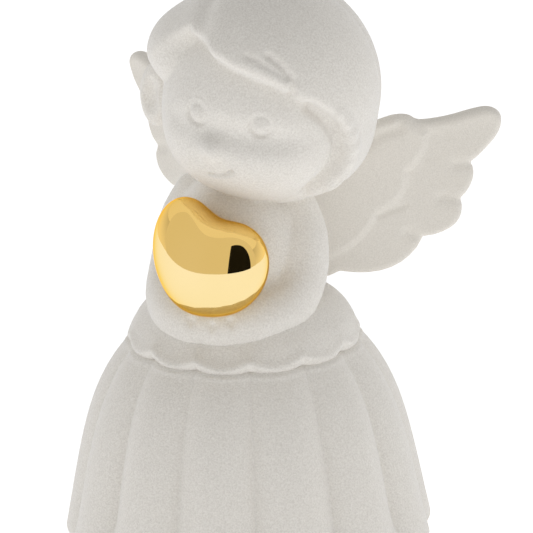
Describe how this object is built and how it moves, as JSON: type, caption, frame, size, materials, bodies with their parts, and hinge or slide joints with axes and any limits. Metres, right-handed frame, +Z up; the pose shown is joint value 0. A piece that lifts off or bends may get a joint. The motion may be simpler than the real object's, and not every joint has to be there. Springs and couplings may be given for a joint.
{
  "type": "resin angel figurine",
  "caption": "Standing child angel in a fluted bell skirt with a scalloped overskirt, swept-back feathered wings and a tilted head, holding a polished gold heart.",
  "frame": {"origin": "centre of the felt pad's underside, on the surface the figurine stands on", "axes": "+Z up along the skirt's axis; the figure faces -Y, and its own left is +X"},
  "size_m": [0.0916, 0.0849, 0.1307],
  "materials": {
    "flocked_resin": "warm white cast resin under a fine velvet flock",
    "wing_flock": "warm white cast resin under a thinner, smoother flock",
    "polished_gold": "mirror-polished gold plating",
    "bare_resin": "bare off-white cast resin",
    "felt": "white pressed wool felt"
  },
  "bodies": {
    "root": {"felt_pad": "felt", "base_plug": "bare_resin", "skirt": "flocked_resin", "overskirt": "flocked_resin", "bodice": "flocked_resin", "left_arm": "flocked_resin", "right_arm": "flocked_resin", "head": "flocked_resin", "hair": "flocked_resin", "fringe": "flocked_resin", "left_wing": "wing_flock", "right_wing": "wing_flock", "heart": "polished_gold", "waist_dowel": "bare_resin", "neck_dowel": "bare_resin", "arm_dowels": "bare_resin", "wing_dowels": "bare_resin", "heart_stud": "bare_resin"}
  },
  "joints": []
}
